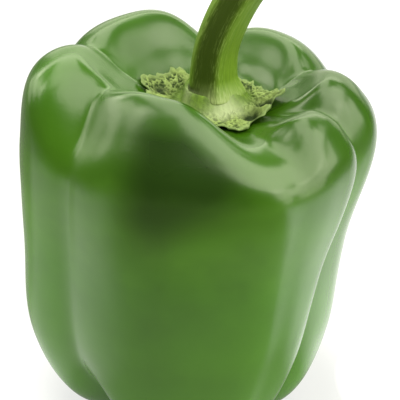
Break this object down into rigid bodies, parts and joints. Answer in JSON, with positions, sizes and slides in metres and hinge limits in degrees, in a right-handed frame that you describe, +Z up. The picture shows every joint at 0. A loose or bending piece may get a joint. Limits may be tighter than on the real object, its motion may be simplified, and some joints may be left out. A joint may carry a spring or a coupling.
{
  "type": "green bell pepper",
  "caption": "Green bell pepper as picked, standing upright on its lobes, with a crinkled calyx and a curved cut stem.",
  "frame": {"origin": "middle of the bounding box at the surface the pepper stands on", "axes": "+Z up from the lobes' feet to the stem, -Y towards the broad front lobe, +X to the right, the way the stem leans"},
  "size_m": [0.0838, 0.0746, 0.1171],
  "materials": {
    "skin": "glossy waxy green skin",
    "calyx": "dry, crinkled, pale yellow-green",
    "stem": "satin, finely ribbed, dark and light green"
  },
  "bodies": {
    "root": {"pepper_body": "skin", "calyx": "calyx", "stem": "stem"}
  },
  "joints": []
}
